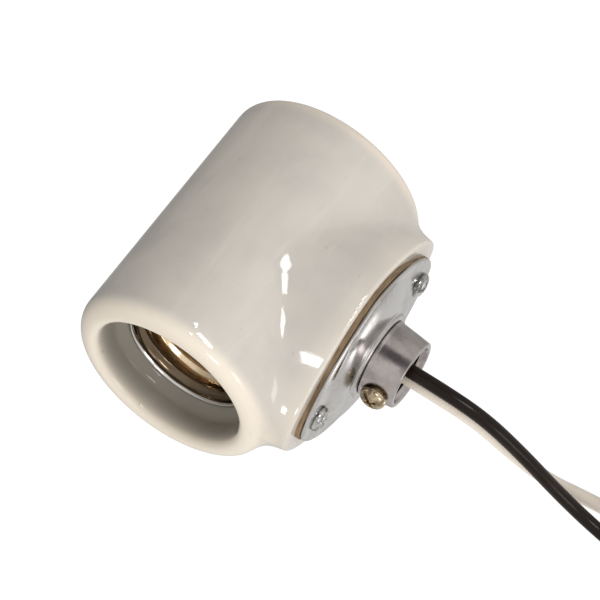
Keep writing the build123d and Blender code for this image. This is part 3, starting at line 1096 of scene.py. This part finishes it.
# %% Lead insulation
def insulation(name, tone, scuffed, roughness, refraction):
    """An extruded plastic skin with faint scuffs."""
    made = Finish(name, IOR=refraction)
    scuffs = made.between(made.noise(260, 4, 0.6, stretch=(0.35, 1, 1)), 0.5, 0.75)
    lines = made.noise(2200, 2, 0.5, stretch=(0.05, 1, 1))
    made.shade(
        Base_Color=made.blend(scuffs, tone, scuffed),
        Roughness=roughness + scuffs * 0.15,
        Normal=made.bump(lines, 0.3, 0.03 * mm),
    )
    return made


black_skin = insulation(
    "black_insulation", (0.012, 0.007, 0.005), (0.02, 0.012, 0.010), 0.22, 1.26
)
white_skin = insulation(
    "white_insulation", (0.86, 0.77, 0.66), (0.72, 0.63, 0.53), 0.3, 1.45
)
black_skin.cover(black_lead, "black_lead_inner")
white_skin.cover(white_lead, "white_lead_inner")
print("insulation ready")

# %% [markdown]
# The holder lies on a plain white table. Its white comes from its own glow, so it stays even
# without a strong lamp above it. A glaze mirrors all that is round it, and a glowing table would
# make its lower side pale, so the table is left out of mirror reflections.

# %% Table
table_half_width = 4.0
table_mesh = bmesh.new()
bmesh.ops.create_grid(table_mesh, x_segments=8, y_segments=8, size=table_half_width)
table_data = bpy.data.meshes.new("table")
table_mesh.to_mesh(table_data)
table_mesh.free()
table = bpy.data.objects.new("table", table_data)
bpy.context.collection.objects.link(table)
paper = Finish("table_paper", Roughness=0.9, Emission_Strength=1.02)
fine = paper.noise(40, 3, 0.5)
paper.shade(
    Base_Color=paper.blend(fine, (0.045, 0.045, 0.045), (0.04, 0.04, 0.04)),
    Emission_Color=paper.blend(fine, (1.0, 1.0, 1.0), (0.99, 0.99, 0.99)),
)
paper.cover(table)
table.visible_glossy = False
print("table width:", 2 * table_half_width)

# %% [markdown]
# One broad panel on the cap's side lights everything and shapes the metal. The glaze shows a lamp
# as a clear patch of light. The small lamps are linked to single pieces, so that each one draws its
# patch on the lip, in the valley, inside the mouth or low on the tube, and nowhere else.

# %% Lamps
lamp_distance = 0.9


def panel(name, direction, width, height, power, lit=()):
    """A soft rectangular light toward the holder, for all pieces or only for the given ones."""
    data = bpy.data.lights.new(name, "AREA")
    data.shape = "RECTANGLE"
    data.size = width
    data.size_y = height
    data.energy = power
    light = bpy.data.objects.new(name, data)
    away = Vector(direction).normalized()
    turn = away.to_track_quat("Z", "Y").to_matrix().to_4x4()
    light.matrix_world = Matrix.Translation(lamp_centre + away * lamp_distance) @ turn
    bpy.context.collection.objects.link(light)
    if lit:
        light.light_linking.receiver_collection = bpy.data.collections.new(name + "_lights")
        for piece in lit:
            light.light_linking.receiver_collection.objects.link(piece)


lip_pieces = (tube, near_screw, far_screw, lock_screw, black_lead)
panel("side_panel", (0.9, -0.35, 0.35), 0.3, 0.3, 1.1)
panel("lip_lamp", (0.38, -0.10, 0.92), 0.17, 0.18, 1.8, lip_pieces)
panel("valley_lamp", (0.06, 0.25, 0.965), 0.14, 0.15, 1.2, (tube,))
panel("valley_lamp_low", (0.15, 0.11, 0.98), 0.14, 0.15, 1.2, (tube,))
panel("mouth_lamp", (0.5, -0.68, 0.52), 0.14, 0.30, 1.6, (shell,))
panel("foot_lamp", (0.03, -0.60, 0.80), 0.05, 0.09, 0.3, (tube,))
panel("low_lamp", (0.33, -0.90, 0.28), 0.16, 0.12, 1.0, (tube,))

# %% [markdown]
# The sky gives most of the light. A dark patch overhead is what the glaze mirrors as grey between
# its clear highlights. The sky also grows dimmer on the side away from the cap, a little dimmer
# below, and has one bright spot low on the cap's side. Each of these is a soft step over the angle
# to one direction, and the strengths are multiplied together.

# %% Sky
world = bpy.data.worlds.new("studio")
bpy.context.scene.world = world
world.use_nodes = True
sky = Nodes(world.node_tree)
background = sky.tree.nodes["Background"]
looking = sky.add("ShaderNodeTexCoord", output="Generated")


def toward(direction):
    """How closely a place in the sky agrees with a direction, 1 where it is the same."""
    values = {0: looking, 1: Vector(direction).normalized()}
    return sky.add("ShaderNodeVectorMath", {"operation": "DOT_PRODUCT"}, values, output="Value")


def strength(value, low, high, at_low, at_high):
    """The value's run from low to high turned into a run between two strengths."""
    return sky.add("ShaderNodeMapRange", values={
        "Value": value, "From Min": low, "From Max": high, "To Min": at_low, "To Max": at_high,
    })


white_sky = (1.0, 0.985, 0.965)
dark_patch = (0.14, 0.13, 0.14)
stops = [(0.93, white_sky), (0.985, dark_patch)]
colour = sky.add("ShaderNodeValToRGB", {"stops": stops}, {0: toward((0.13, -0.12, 0.98))})
falloff = strength(toward((-0.95, 0.25, 0.0)), -0.2, 0.75, 0.92, 0.22)
height = sky.add("ShaderNodeSeparateXYZ", values={0: looking}, output="Z")
ground = strength(height, -0.35, 0.05, 0.95, 1.0)
glint = strength(toward((0.77, 0.31, -0.55)), 0.988, 0.996, 1.0, 4.0)
sky.put(background.inputs["Strength"], falloff * (ground * glint))
sky.put(background.inputs["Color"], colour)
bpy.context.scene.view_settings.view_transform = "Standard"
print("sky nodes:", len(sky.tree.nodes))
